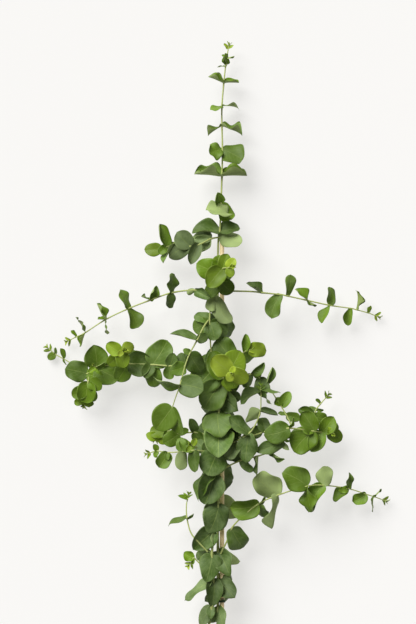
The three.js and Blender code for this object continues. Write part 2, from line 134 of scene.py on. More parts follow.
SECOND_STEM = [
    [-32, -60, 52],
    [-16, 28, 57, [37, 240, 6, 16, 0.62], [20, 266, 22, 0, 0.7]],
    [-14, 73, 58, [44, 266, 12, 0, 0.7], [56, 210, -2, 70, 0.32]],
    [-16, 111, 59, [44, 257, 12, 0, 0.8], [34, 197, -8, 0, 0.8]],
    [-13, 150, 60, [45, 223, 10, 0, 0.86], [28, 262, 34, 120, 0.4]],
    [-6, 194, 61, [50, 251, 12, 0, 0.84], [34, 226, -12, 0, 0.8]],
    [-14, 241, 62, [50, 253, 12, 0, 0.9], [50, 233, -2, 44, 0.7]],
    [-6, 278, 63, [45, 250, 14, 0, 0.95], [26, 150, -30, 0]],
    [-4, 310, 64, [46, 268, 36, 0, 1.08], [26, 60, -34, 0]],
    [-5, 339, 65, [42, 276, 38, 0, 1.06], [34, 236, -20, 0]],
    [0, 384, 66, [48, 236, 8, 0, 0.98], [30, 40, -24, 0, 0.8]],
    [-14, 412, 66, [50, 228, 6, 0, 0.96], [30, 120, -24, 0]],
    [-20, 482, 65, [27, 150, 24, 52, 0.76], [29, 203, 2, 0, 0.96], [30, -75, 20, 0], [34, -36, -4, 0, 0.9]],
    [-15, 528, 62, [56, -60, 10, 158, 0.5], [30, -94, 16, 164, 0.66]],
]
SHOOTS = {
    "leader_tip": [
        [5.6, 894, 34, [13, 176, 10, 70, 0.6]],
        [7, 897, 36, [18, 84, 28, 40, 0.66], [15, 106, 8, -40, 0.6]],
        [8.4, 908, 37, [12, 4, 14, 70, 0.4], [10, 150, 20, 40, 0.5]],
        [9, 915, 38],
        [10, 921, 38],
    ],
    "top_left_spray": [
        [-4, 619, 54],
        [-18, 616, 62, [31, 166, 20, 16, 0.84], [32, 212, 12, 0, 0.9]],
        [-36, 607, 68, [34, 246, 12, 0, 0.76]],
        [-50, 604, 66, [31, 134, 10, 0, 1.02], [38, 206, 6, 10, 0.68]],
        [-74, 609, 62, [37, 231, 6, 76, 0.6]],
        [-89, 603, 60, [38, 104, 10, 38, 0.66], [16, 226, 20, 0]],
        [-97, 601, 58, [27, 184, 0, 0, 0.8]],
    ],
    "bright_shoot": [
        [-3, 542, 54],
        [-4, 550, 76, [34, 234, -16, 20, 0.7], [30, -44, -14, 0], [30, 62, -24, 0]],
        [-5, 563, 98, [37, 160, 12, 0, 0.92], [26, 88, 4, 0, 0.9]],
        [1, 568, 108, [37, 231, 10, 0, 0.92], [24, 72, 12, 0, 0.9]],
        [9, 569, 116, [18, 52, 16, 0, 0.94], [16, -66, 14, 0, 0.9]],
        [13, 570, 122],
    ],
    "left_arching_shoot": [
        [-19, 529, 64],
        [-42, 534, 68, [27, -28, 12, 0], [15, 202, 4, 176, 0.9]],
        [-80, 530, 66, [30, 78, 14, 46, 0.7], [25, 262, 10, -34, 0.8]],
        [-115, 518, 60, [25, 62, 12, 24, 0.86], [16, 152, 20, 76, 0.6]],
        [-149, 505, 52, [32, 106, 10, 44, 0.62], [34, -62, 6, -30, 0.62]],
        [-187, 487, 42, [29, 110, 10, 48, 0.6], [13, 168, 20, 78, 0.6], [23, 266, 4, 80, 0.6]],
        [-220, 466, 32, [29, 114, 8, 76, 0.5], [24, 250, 4, 62, 0.6]],
        [-235, 459, 28, [13, 118, 20, 40, 0.6]],
        [-243, 455, 26],
    ],
    "right_arching_shoot": [
        [-2, 533, 58],
        [45, 532, 63],
        [64, 530, 63, [28, 138, 16, 40, 0.9]],
        [94, 527, 58, [40, 246, 8, 18, 0.62]],
        [104, 525, 57, [34, 76, 10, 34, 0.5]],
        [136, 518, 49, [25, 124, 12, 56, 0.7], [18, -36, 12, 64, 0.6]],
        [173, 510, 41, [29, 88, 6, 22, 0.62], [31, 236, 8, 64, 0.5]],
        [208, 505, 31, [28, 258, 0, 10, 0.7]],
        [216, 503, 29, [30, 76, 12, 82, 0.5]],
        [235, 498, 25, [12, 62, 20, 20, 0.6]],
        [246, 494, 23],
    ],
    "left_spray": [
        [-22, 416, 64],
        [-59, 413, 66, [26, 196, 26, 0, 0.9], [22, 108, 8, 0, 0.8]],
        [-83, 413, 64, [22, 72, 20, 0], [22, 262, -8, 10]],
        [-112, 415, 58, [45, 58, 4, 0, 0.9], [38, -86, -8, 10, 0.74], [24, 240, 12, 0, 0.9]],
        [-150, 416, 50, [38, 4, 18, 0, 1.2], [34, 238, -8, 0, 0.84], [28, 62, -26, 0]],
        [-202, 411, 41, [41, -28, 10, 0, 1], [36, 96, 22, 0, 1.1]],
        [-217, 400, 37, [35, 168, 12, 0, 0.98], [28, -12, 22, 0, 0.9]],
        [-229, 409, 30],
        [-242, 416, 26],
        [-256, 424, 22, [17, 98, 10, 56, 0.6], [11, -70, 10, 50, 0.5]],
        [-269, 431, 20, [14, 214, 4, 0, 0.9], [11, 84, 10, 40, 0.6]],
        [-276, 437, 20],
    ],
    "left_yellow_shoot": [
        [-162, 420, 52],
        [-165, 428, 66, [22, 218, -6, 0], [22, -50, -10, 0]],
        [-162, 434, 78, [26, 146, 4, 0, 0.96], [24, -74, 6, 0, 0.96]],
        [-157, 437, 86, [19, 38, 4, 0, 1], [11, 226, 20, 0, 0.9]],
    ],
    "left_hanging_shoot": [
        [-214, 394, 44],
        [-214, 388, 58, [24, -30, 6, 0, 0.9], [35, 264, -4, 0, 1]],
        [-217, 374, 52, [26, 200, -6, 0, 0.9], [22, -50, 4, 0, 0.9]],
        [-221, 359, 38, [18, 206, -4, 0, 0.8], [17, -30, 4, 10, 0.8]],
        [-221, 354, 36],
    ],
    "left_curled_shoot": [
        [-196, 408, 48],
        [-200, 410, 62, [16, 30, 20, 30, 0.9], [15, 210, 10, 20, 0.9]],
        [-203, 413, 72],
        [-204, 414, 78],
    ],
    "drooping_twig": [
        [-22, 486, 66],
        [-30, 474, 78],
        [-40, 454, 88, [43, 160, 6, 56, 0.52], [20, 32, -14, 0, 0.8]],
        [-51, 434, 92, [38, -58, -14, 0, 0.8], [12, 150, 20, 0]],
        [-58, 416, 94],
        [-67, 383, 92, [42, 170, 6, -48, 0.6], [39, -12, 20, 0, 0.94]],
        [-73, 366, 88],
        [-79, 348, 84, [44, 234, 4, 0, 0.94], [45, -78, -4, 48, 0.66]],
    ],
    "lower_left_shoot": [
        [-10, 274, 56],
        [-26, 277, 70, [17, 76, 30, 0, 0.94], [26, 138, -20, 0, 0.8]],
        [-45, 279, 78, [34, 268, 8, 24, 0.74], [28, 140, -10, 0, 0.8]],
        [-62, 277, 74, [30, 260, 8, 165, 0.7], [22, 96, 6, 10, 0.8]],
        [-86, 275, 66, [28, 238, 2, 0, 0.94], [12, 268, 20, 20]],
        [-104, 277, 58, [12, 116, 16, 20, 0.8], [11, 250, 10, 20, 0.8]],
        [-114, 274, 54],
    ],
    "lower_left_twig": [
        [-14, 300, 46, [36, 128, -6, 0, 0.84]],
        [-44, 306, 44, [24, 108, 26, 14, 0.66], [24, -60, 4, 0]],
        [-70, 304, 40, [18, 24, 24, 0, 0.7], [28, 212, 10, 0]],
        [-86, 308, 36, [30, 186, 2, 0, 0.8], [20, 262, 6, 0, 0.8]],
        [-102, 298, 34, [20, 168, 14, 0, 0.8], [16, -40, 10, 0]],
    ],
    "bright_tip_shoot": [
        [-40, 284, 86],
        [-48, 288, 98, [13, 60, 10, 10, 0.8], [13, 226, 10, 10, 0.8]],
        [-50, 290, 106],
    ],
    "right_bright_shoot": [
        [-3, 386, 54],
        [2, 394, 76, [46, 112, -8, 0, 0.8], [24, -66, 4, 70, 0.5]],
        [9, 401, 98, [42, 62, -6, 0, 0.92], [26, -60, -8, 0]],
        [12, 405, 112, [36, 142, 8, 0, 1], [32, -24, 8, 0, 0.86]],
        [14, 404, 124, [15, -110, 14, 0], [12, 60, 30, 0, 0.8]],
    ],
    "right_upper_twig": [
        [-3, 402, 54, [42, 112, -10, 0, 0.9], [36, 168, -16, 0, 0.9]],
        [18, 420, 64, [44, 128, -6, 0, 0.84], [24, -40, -26, 0]],
        [36, 436, 68, [28, 84, 8, 20, 0.66], [24, -64, -30, 0]],
        [42, 438, 68, [28, -2, 6, 0, 0.92]],
    ],
    "right_dark_twig": [
        [-2, 368, 54, [40, -48, -2, 0, 0.84], [34, -12, -16, 20, 0.8]],
        [26, 386, 58, [26, 220, -14, 0, 0.8]],
        [46, 400, 60, [28, 38, 10, 16, 0.7], [24, 242, 6, 0, 0.7]],
        [60, 394, 58, [28, -74, 14, 0, 0.9], [14, 130, 20, 20]],
        [70, 386, 55, [27, 62, 4, 44, 0.66]],
        [86, 362, 48, [12, -60, 10, 60, 0.6]],
    ],
    "right_wavy_twig": [
        [-2, 286, 56, [38, -30, -8, 20, 0.8]],
        [20, 292, 68, [30, -110, 14, 20], [28, 100, -14, 0]],
        [43, 306, 74, [42, 138, 8, 36, 0.64], [46, 260, 10, 18, 0.64]],
        [54, 322, 75],
        [61, 341, 74, [29, 212, 6, 150, 0.66], [28, -8, 10, -44, 0.62]],
        [62, 360, 72],
        [62, 374, 70, [38, 206, 14, 52, 0.5], [30, 6, 10, -74, 0.5], [27, -62, 0, 56, 0.5]],
    ],
    "right_oval_twig": [
        [110, 320, 66],
        [103, 334, 62, [23, -14, 10, 10, 0.7], [14, 160, 10, 40, 0.6]],
        [95, 348, 60, [27, 60, 2, 0, 0.74]],
    ],
    "right_spray": [
        [-2, 298, 52, [36, 26, -14, 0, 0.84]],
        [43, 300, 54, [27, 30, -16, 0, 0.8]],
        [69, 308, 64, [26, 104, -24, 0, 0.8]],
        [107, 314, 72, [40, 194, 10, 6, 0.84], [18, 60, 10, 60, 0.6]],
        [146, 309, 66, [36, 122, 2, 0, 0.88], [46, 228, -4, 0, 0.9], [18, 170, 24, 20, 0.8]],
        [159, 307, 58, [35, 242, 10, 0, 0.9], [31, 52, 10, 0, 0.92]],
        [170, 306, 52, [26, -30, -8, 10, 0.84], [22, 40, -14, 20, 0.8]],
        [174, 305, 60, [11, 110, 20, 0, 0.9]],
    ],
    "right_tip_twig": [
        [143, 318, 60],
        [146, 330, 54, [27, 150, -4, 10, 0.8], [24, -8, -12, 0, 0.8]],
        [151, 343, 50, [14, 170, 8, 20, 0.6], [12, -8, 8, 20, 0.6]],
        [158, 352, 48, [11, 130, 10, 30, 0.6]],
        [166, 361, 46],
    ],
    "right_lower_twig": [
        [-3, 246, 54],
        [30, 262, 60, [26, -46, 4, 10, 0.6], [22, 120, -20, 0]],
        [58, 269, 60, [30, 262, -4, 76, 0.5]],
        [78, 277, 60, [25, -42, 4, 58, 0.5], [20, 140, -20, 0]],
        [98, 293, 60, [45, 198, 18, 10, 0.5], [17, -62, 4, 150, 0.6]],
    ],
    "right_low_spray": [
        [-2, 112, 54],
        [10, 138, 62, [16, -50, -10, 30, 0.6]],
        [16, 155, 68, [42, -60, -14, 0, 0.8]],
        [30, 171, 74],
        [58, 194, 78, [45, 189, 4, -14, 0.94], [15, 34, 10, 66, 0.5], [30, -84, -30, 30]],
        [90, 208, 75, [50, 134, 8, 166, 0.8], [56, 258, -10, 118, 0.5]],
        [135, 221, 67, [44, 150, 16, 8, 0.96], [40, -88, 0, 56, 0.6]],
        [162, 222, 57, [32, 74, 8, 152, 0.84], [48, 236, 4, 24, 0.72]],
        [202, 216, 43, [25, 78, 10, 36, 0.6], [30, 216, 4, 30, 0.62], [15, 186, 30, 10, 0.8]],
        [232, 206, 33, [25, 206, 10, 0, 0.96]],
        [244, 202, 28, [18, 42, 10, 56, 0.5], [25, 260, -4, 74, 0.4]],
        [258, 197, 26],
    ],
    "left_low_twig": [
        [-23, 116, 60],
        [-38, 132, 62],
        [-50, 147, 62],
        [-56, 170, 60, [31, 194, 4, 50, 0.5], [13, 30, 20, 40, 0.6]],
        [-57, 189, 58],
        [-55, 200, 56, [16, 158, 10, 20, 0.6]],
    ],
    "left_bud_twig": [
        [-24, 90, 58],
        [-36, 98, 60],
        [-45, 106, 60, [18, 152, 0, 0, 1], [10, 260, 10, 20, 0.8]],
        [-49, 100, 60],
    ],
}


# What the leaves of a shoot are like. Their age runs from the first number at the shoot's foot to
# the second at its tip: 0 is old and grey, 1 fresh green, 2 yellow-green. Then come how much
# broader a leaf is towards its base (below 0, towards its tip), how far it narrows to a point, how
# wavy its margin is, and how deeply it is cupped.
HABITS = {
    "foot": (-0.2, 0.1, 0.16, 0.22, 1.0, 0.8),
    "main_stem": (-0.2, 0.3, 0.08, 0.04, 1.2, 0.9),
    "second_stem": (0.0, 0.4, 0.04, 0.0, 1.2, 0.8),
    "leader": (0.3, 0.9, -0.2, 0.0, 2.0, 2.0),
    "leader_tip": (0.7, 1.4, 0.0, 0.1, 1.6, 1.6),
    "top_left_spray": (-2.0, 1.4, -0.05, 0.1, 0.9, 1.2),
    "bright_shoot": (0.6, 1.9, 0.0, 0.1, 0.8, 0.7),
    "left_arching_shoot": (0.1, 1.3, -0.34, 0.05, 1.5, 1.8),
    "right_arching_shoot": (0.2, 1.3, -0.34, 0.05, 1.5, 1.8),
    "left_spray": (0.3, 1.0, 0.0, 0.05, 0.9, 0.8),
    "left_yellow_shoot": (0.8, 1.8, 0.0, 0.1, 0.8, 0.8),
    "left_hanging_shoot": (0.8, 1.3, 0.0, 0.1, 0.8, 0.8),
    "left_curled_shoot": (0.9, 1.5, 0.0, 0.1, 1.2, 1.5),
    "drooping_twig": (0.2, 0.7, 0.06, 0.1, 0.8, 0.8),
    "lower_left_shoot": (0.1, 1.1, -0.05, 0.1, 1.1, 1.1),
    "lower_left_twig": (0.1, 1.5, 0.0, 0.1, 1.0, 1.0),
    "bright_tip_shoot": (1.2, 1.7, 0.0, 0.1, 1.0, 1.2),
    "right_bright_shoot": (0.7, 2.2, 0.0, 0.1, 0.8, 0.7),
    "right_upper_twig": (0.2, 1.4, -0.1, 0.1, 1.2, 1.2),
    "right_dark_twig": (0.0, 0.6, -0.1, 0.1, 1.2, 1.6),
    "right_wavy_twig": (-0.1, 0.2, 0.0, 0.15, 1.7, 1.7),
    "right_oval_twig": (0.5, 0.8, 0.0, 0.1, 1.0, 1.0),
    "right_spray": (0.2, 1.3, 0.0, 0.1, 1.0, 0.9),
    "right_tip_twig": (0.4, 0.9, 0.0, 0.1, 1.0, 1.2),
    "right_lower_twig": (0.0, 0.3, 0.0, 0.1, 1.6, 1.6),
    "right_low_spray": (0.4, 0.9, -0.06, 0.06, 1.7, 1.0),
    "left_low_twig": (0.5, 0.9, 0.1, 0.3, 1.2, 1.2),
    "left_bud_twig": (0.8, 1.2, 0.0, 0.1, 1.0, 1.0),
}
FOOT_TOP = 215  # the upright stems' leaves below this height have the foot's habit
LEADER_FOOT = 640  # and those above this height have the leader's
VIEW_MIDDLE = (-22.4, 499.2, 56)  # what the camera looks at


def plant_origin():
    """Where the tables' origin lies in the row frame, found from the cane."""
    low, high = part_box("cane")
    middle = (low + high) / 2
    return Vector((middle.x, low.y - CANE_FOOT * MM, middle.z - CANE_HEIGHT * MM))


ORIGIN = plant_origin()


def place(point):
    """A point of the tables in the row frame, in metres."""
    return ORIGIN + Vector(point) * MM


# ---------------------------------------------------------------------------------------------
# Node trees


class Wire:
    """A value in a node tree. Arithmetic on it adds Math nodes to the tree."""

    def __init__(self, plan, socket):
        self.plan = plan
        self.socket = socket

    def __add__(self, other):
        return self.plan.math("ADD", self, other)

    def __sub__(self, other):
        return self.plan.math("SUBTRACT", self, other)

    def __mul__(self, other):
        return self.plan.math("MULTIPLY", self, other)

    def __truediv__(self, other):
        return self.plan.math("DIVIDE", self, other)

    def __pow__(self, other):
        return self.plan.math("POWER", self, other)

    def __radd__(self, other):
        return self.plan.math("ADD", other, self)

    def __rsub__(self, other):
        return self.plan.math("SUBTRACT", other, self)

    def __rmul__(self, other):
        return self.plan.math("MULTIPLY", other, self)


class Plan:
    """A node tree being written."""

    def __init__(self, tree):
        self.tree = tree

    def socket(self, node, key, side):
        """A socket by number, or the one in use by name."""
        sockets = node.inputs if side == "in" else node.outputs
        if isinstance(key, int):
            return sockets[key]
        return next(s for s in sockets if s.name == key and s.enabled)

    def node(self, kind, settings=None, inputs=None, out=0):
        """Adds a node: its settings first, then its inputs, and gives one output."""
        made = self.tree.nodes.new(kind)
        for name, value in (settings or {}).items():
            setattr(made, name, value)
        for key, value in (inputs or {}).items():
            socket = self.socket(made, key, "in")
            if isinstance(value, Wire):
                self.tree.links.new(value.socket, socket)
            else:
                socket.default_value = value
        return Wire(self, self.socket(made, out, "out")) if out is not None else made

    def math(self, operation, *values, clamp=False):
        settings = {"operation": operation, "use_clamp": clamp}
        return self.node("ShaderNodeMath", settings, dict(enumerate(values)))

    def vector(self, operation, *values):
        return self.node("ShaderNodeVectorMath", {"operation": operation}, dict(enumerate(values)))

    def scaled(self, vector, factor):
        return self.node("ShaderNodeVectorMath", {"operation": "SCALE"}, {0: vector, "Scale": factor})

    def parts(self, vector):
        whole = self.node("ShaderNodeSeparateXYZ", inputs={0: vector}, out=None)
        return [Wire(self, socket) for socket in whole.outputs]

    def ramp(self, value, low, high):
        """0 below low and 1 above high, smoothly."""
        settings = {"interpolation_type": "SMOOTHSTEP"}
        return self.node("ShaderNodeMapRange", settings, {"Value": value, "From Min": low, "From Max": high})

    def mix(self, factor, first, second):
        inputs = {"Factor": factor, "A": first, "B": second}
        return self.node("ShaderNodeMix", {"data_type": "RGBA"}, inputs, "Result")


class Shader(Plan):
    """A material being written."""

    def __init__(self, name):
        self.material = bpy.data.materials.new(name)
        self.material.use_nodes = True
        super().__init__(self.material.node_tree)
        self.surface = self.tree.nodes["Principled BSDF"]

    def attribute(self, name, out="Fac"):
        return self.node("ShaderNodeAttribute", {"attribute_name": name}, out=out)

    def noise(self, scale, detail=3.0, rough=0.5, stretch=(1, 1, 1), shift=0.0):
        where = self.node("ShaderNodeTexCoord", out="Object")
        mapped = self.node(
            "ShaderNodeMapping",
            inputs={"Vector": where, "Location": (shift, shift, shift), "Scale": stretch},
        )
        inputs = {"Vector": mapped, "Scale": scale, "Detail": detail, "Roughness": rough}
        return self.node("ShaderNodeTexNoise", inputs=inputs)

    def bump(self, height, distance, strength=1.0):
        inputs = {"Height": height, "Distance": distance, "Strength": strength}
        self.set(Normal=self.node("ShaderNodeBump", inputs=inputs))

    def set(self, **values):
        for name, value in values.items():
            socket = self.surface.inputs[name.replace("_", " ")]
            if isinstance(value, Wire):
                self.tree.links.new(value.socket, socket)
            else:
                socket.default_value = value
        return self.material


class Fields(Plan):
    """A Geometry Nodes tree being written, with its named inputs."""

    def __init__(self, name, inputs):
        super().__init__(bpy.data.node_groups.new(name, "GeometryNodeTree"))
        face = self.tree.interface
        face.new_socket("Geometry", in_out="INPUT", socket_type="NodeSocketGeometry")
        for label, (kind, default) in inputs.items():
            socket = face.new_socket(label, in_out="INPUT", socket_type="NodeSocket" + kind)
            if default is not None:
                socket.default_value = default
        face.new_socket("Geometry", in_out="OUTPUT", socket_type="NodeSocketGeometry")
        entry = self.tree.nodes.new("NodeGroupInput")
        self.given = {s.name: Wire(self, s) for s in entry.outputs if s.name}

    def named(self, name, kind="FLOAT"):
        return self.node("GeometryNodeInputNamedAttribute", {"data_type": kind}, {"Name": name}, "Attribute")

    def keep(self, geometry, name, value, kind="FLOAT"):
        settings = {"data_type": kind, "domain": "POINT"}
        inputs = {"Geometry": geometry, "Name": name, "Value": value}
        return self.node("GeometryNodeStoreNamedAttribute", settings, inputs)

    def random(self, low, high, seed):
        """A number of each leaf's own, the same over the whole leaf."""
        own = self.named("leaf_id", "INT")
        inputs = {"Min": low, "Max": high, "ID": own, "Seed": seed}
        return self.node("FunctionNodeRandomValue", {"data_type": "FLOAT"}, inputs, "Value")

    def finish(self, geometry):
        leave = self.tree.nodes.new("NodeGroupOutput")
        self.tree.links.new(geometry.socket, leave.inputs[0])
        return self.tree


def run_tree(name, source, tree, values):
    """Runs a tree on a mesh with its inputs set, and gives the result as a plain mesh object."""
    holder = bpy.data.objects.new(name + "_source", source)
    bpy.context.collection.objects.link(holder)
    modifier = holder.modifiers.new("shape", "NODES")
    modifier.node_group = tree
    for item in tree.interface.items_tree:
        if item.in_out == "INPUT" and item.name in values:
            modifier[item.identifier] = values[item.name]
    depsgraph = bpy.context.evaluated_depsgraph_get()
    mesh = bpy.data.meshes.new_from_object(holder.evaluated_get(depsgraph), depsgraph=depsgraph)
    if not mesh.polygons:
        raise RuntimeError(f"{name} came out empty")
    holder.modifiers.remove(modifier)
    bpy.data.objects.remove(holder)
    mesh.name = name
    made = bpy.data.objects.new(name, mesh)
    bpy.context.collection.objects.link(made)
    return made


def hand_over(piece, slot, *nodes):
    """Gives a finished piece its body and hides the design nodes that it stands for. The slot is not used.
    """
    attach(piece, BODY)
    if nodes:
        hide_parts(*nodes)
    return piece


# ---------------------------------------------------------------------------------------------
# Materials


def colour(value):
    return (*value, 1.0)


def leaf_material(name, colours, bloom):
    """A leaf: grey bloom on its upper face, pale underside, pale veins and a lit margin."""
    s = Shader(name)
    along, across, face = s.parts(s.attribute("place", "Vector"))
    age = s.attribute("age")
    spread = s.math("ABSOLUTE", across)
    soft = s.noise(62.0, 4.0, 0.55)
    fine = s.noise(420.0, 4.0, 0.6)
    # Colour by age.
    fresh = s.mix(s.ramp(age, 0.0, 1.0), colour(colours.leaf_old), colour(colours.leaf_fresh))
    upper = s.mix(s.ramp(age, 1.0, 2.2), fresh, colour(colours.leaf_new))
    dusted = s.ramp(soft + fine * 0.35, 0.45, 0.9) * (1.0 - s.ramp(age, 0.1, 1.2)) * bloom
    dusted = s.math("ADD", dusted, s.ramp(0.0 - age, 0.0, 0.6) * 0.8, clamp=True)
    upper = s.mix(dusted, upper, colour(colours.leaf_bloom))
    under = s.mix(s.ramp(age, 0.2, 2.0), colour(colours.leaf_under), colour(colours.leaf_under_new))
    # Veins: the midrib, and side veins that leave it at a slant and fade towards the margin.
    midrib = 1.0 - s.ramp(spread, 0.008, 0.038)
    slant = (along * 7.5 - spread * 3.0) + soft * 1.6
    stripe = s.math("ABSOLUTE", s.math("FRACT", slant + 40.0) - 0.5)
    side = (1.0 - s.ramp(stripe, 0.02, 0.09)) * (1.0 - s.ramp(spread, 0.55, 0.95))
    veins = s.math("MAXIMUM", midrib, side * 0.4, clamp=True)
    upper = s.mix(veins * 0.42, upper, colour(colours.vein))
    margin = s.ramp(spread, 0.93, 1.0)
    upper = s.mix(margin * 0.35, upper, colour(colours.vein))
    under = s.mix(veins * 0.35, under, colour(colours.vein))
    # Slow changes of tone over a leaf, darker towards its base, times each leaf's own tone, which carries
    # painted shade on leaves that hang back and painted light on leaves that rise.
    shade = (0.62 + soft * 0.62 + s.ramp(along, -0.5, 0.1) * 0.08) * s.attribute("tone_and_painted_light")
    whole = s.mix(s.ramp(face, -0.2, 0.2), under, upper)
    whole = s.scaled(whole, shade)
    rough = 0.42 + dusted * 0.2 + fine * 0.12 + (1.0 - s.ramp(face, -0.2, 0.2)) * 0.18
    s.set(Base_Color=whole, Roughness=rough, Specular_IOR_Level=0.27)
    s.bump(fine * 0.25 + soft * 0.5 - veins * 0.8, 0.0004, 0.6)
    return s.material


def stem_material(colours):
    """Green bark: fine streaks, warmer towards the foot, with lighter specks."""
    s = Shader("stem_bark")
    age = s.attribute("age")
    streak = s.noise(220.0, 4.0, 0.6, stretch=(1, 0.12, 1))
    speck = s.noise(900.0, 2.0)
    base = s.mix(s.ramp(age, 0.0, 1.0), colour(colours.stem_old), colour(colours.stem_new))
    base = s.mix(s.ramp(streak, 0.5, 0.72) * 0.5, base, colour(colours.stem_streak))
    base = s.mix(s.ramp(speck, 0.62, 0.7) * 0.25, base, colour(colours.vein))
    s.set(Base_Color=base, Roughness=0.48 + streak * 0.2, Specular_IOR_Level=0.4)
    s.bump(streak, 0.0003, 0.7)
    return s.material


def cane_material(colours):
    """Bare cane: long fine grain, darker at the joints and on its cut ends."""
    s = Shader("cane_wood")
    grain = s.noise(260.0, 5.0, 0.65, stretch=(1, 0.04, 1))
    broad = s.noise(26.0, 2.0, stretch=(1, 0.2, 1), shift=3.0)
    joint = s.attribute("joint")
    base = s.mix(s.ramp(grain, 0.35, 0.7), colour(colours.cane_dark), colour(colours.cane_light))
    base = s.mix(s.ramp(broad, 0.4, 0.7) * 0.25, base, colour(colours.cane_dark))
    base = s.mix(joint * 0.6, base, colour(colours.cane_joint))
    s.set(Base_Color=base, Roughness=0.42 + grain * 0.25, Specular_IOR_Level=0.4)
    s.bump(grain, 0.00025, 0.6)
    return s.material


def tie_material(colours):
    """Soft plastic-coated tie wire with a fine moulded grain."""
    s = Shader("tie_band")
    grain = s.noise(700.0, 3.0)
    base = s.mix(s.ramp(grain, 0.3, 0.75), colour(colours.tie), colour(colours.tie_worn))
    s.set(Base_Color=base, Roughness=0.5 + grain * 0.25)
    s.bump(grain, 0.0001, 0.5)
    return s.material


def floor_material(colours):
    s = Shader("floor")
    glow = colour(colours.floor)
    s.set(Base_Color=colour(colours.floor), Roughness=0.9, Specular_IOR_Level=0.1)
    s.set(Emission_Color=glow, Emission_Strength=1.92)
    return s.material


MATERIALS = {}


def material(name):
    """The named finish, made once."""
    colours = bpy.context.scene.branch_colours
    sizes = bpy.context.scene.branch_sizes
    makers = {
        "mature_leaf": lambda: leaf_material("mature_leaf", colours, sizes.bloom),
        "young_leaf": lambda: leaf_material("young_leaf", colours, sizes.bloom * 0.5),
        "stem_bark": lambda: stem_material(colours),
        "cane_wood": lambda: cane_material(colours),
        "tie_band": lambda: tie_material(colours),
        "floor": lambda: floor_material(colours),
    }
    if name not in MATERIALS:
        MATERIALS[name] = makers[name]()
    return MATERIALS[name]


# ---------------------------------------------------------------------------------------------
# Leaves


def leaf_tree():
    """Grows a thin closed blade on each point, from that point's own length, axes and habit."""
    f = Fields("Leaf blades", {
        "Rows": ("Int", 20),
        "Columns": ("Int", 13),
        "Thickness": ("Float", 0.00045),
        "Droop": ("Float", DROOP),
        "Cup": ("Float", 0.8),
        "Wave": ("Float", 0.06),
        "Lobe": ("Float", 0.05),
        "Seed": ("Int", 1),
        "Material": ("Material", None),
    })
    g = f.given
    size = {"Size": (1, 2, 2), "Vertices X": g["Rows"], "Vertices Y": g["Columns"], "Vertices Z": 2}
    plate = f.node("GeometryNodeMeshCube", inputs=size)
    plate = f.keep(plate, "place", f.node("GeometryNodeInputPosition"), "FLOAT_VECTOR")
    grown = f.node("GeometryNodeInstanceOnPoints", inputs={"Points": g["Geometry"], "Instance": plate})
    grown = f.node("GeometryNodeRealizeInstances", inputs={"Geometry": grown})

    x, v, face = f.parts(f.named("place", "FLOAT_VECTOR"))
    length, width, pointed = f.named("length"), f.named("width"), f.named("pointed")
    row = x + 0.5
    spread = f.math("ABSOLUTE", v)
    # The outline: an egg shape, with a notched base and a tip drawn out on pointed leaves.
    turn = row * math.pi
    arc = f.math("SINE", turn)
    half = arc * (1.0 + f.named("egg") * f.math("COSINE", turn)) * (1.0 - pointed * row * row)
    half = f.math("MAXIMUM", half, 0.035)
    reach = (1.0 - f.math("COSINE", turn)) / 2.0
    notch = 0.2 * arc * spread * spread * (1.0 - row) ** 3.0
    drawn = (0.015 + pointed * 0.09) * row ** 8.0 * (1.0 - spread)
    reach = reach - notch + drawn
    # The blade bends across into a trough, droops, waves at its margin and twists a little.
    phase = f.random(0.0, 6.28, g["Seed"] + 2)
    other = f.random(1.2, 3.4, g["Seed"] + 3)
    waves = f.random(1.2, 2.4, g["Seed"] + 4)
    wavy = f.named("wavy") * f.random(0.5, 1.25, g["Seed"] + 7)
    ripple = f.math("SINE", row * waves * 6.28 + phase + f.math("SIGN", v) * other)
    half = half * (1.0 + g["Lobe"] * wavy * spread * f.math("SINE", row * 11.0 + phase * 2.0 + other * v))
    trough = g["Cup"] * f.named("cup") + 0.02
    flat = 1.06 * half * width / 2.0
    aside = flat * f.math("SINE", trough * v) / trough
    cup = flat * (1.0 - f.math("COSINE", trough * v)) / trough
    fold = f.random(-0.02, 0.1, g["Seed"] + 6) * spread * half
    wave = g["Wave"] * wavy * ripple * spread ** 2.0 * half
    twist = f.random(-0.2, 0.2, g["Seed"] + 8) * v * half * reach
    curl = f.random(-0.12, 0.1, g["Seed"] + 9) * wavy * row ** 4.0
    rise = cup + fold + wave + twist + curl - g["Droop"] * reach * reach
    sway = f.random(-0.08, 0.08, g["Seed"] + 10) * f.math("SINE", row * math.pi)
    thick = g["Thickness"] * (1.0 - 0.4 * spread * spread)

    spot = f.named("base", "FLOAT_VECTOR")
    forward = f.scaled(f.named("along", "FLOAT_VECTOR"), length * reach)
    sideways = f.scaled(f.named("across", "FLOAT_VECTOR"), length * (aside + sway))
    outwards = f.scaled(f.named("out", "FLOAT_VECTOR"), length * rise + face * thick / 2.0)
    spot = f.vector("ADD", spot, forward)
    spot = f.vector("ADD", spot, sideways)
    spot = f.vector("ADD", spot, outwards)
    grown = f.node("GeometryNodeSetPosition", inputs={"Geometry": grown, "Position": spot})
    broad = f.node("FunctionNodeCompare", {"data_type": "FLOAT"}, {"A": f.math("ABSOLUTE", face), "B": 0.9})
    grown = f.node("GeometryNodeSetShadeSmooth", inputs={"Geometry": grown, "Selection": broad})
    grown = f.node("GeometryNodeSetMaterial", inputs={"Geometry": grown, "Material": g["Material"]})
    return f.finish(grown)


def leaf_axes(heading, lift, roll):
    """The directions along a leaf, across it and out of its upper face."""
    turn = Matrix.Rotation(math.radians(heading), 3, "Z")
    turn = turn @ Matrix.Rotation(-math.radians(lift), 3, "Y")
    turn = turn @ Matrix.Rotation(math.radians(roll), 3, "X")
    return turn.col[0].copy(), turn.col[1].copy(), turn.col[2].copy()


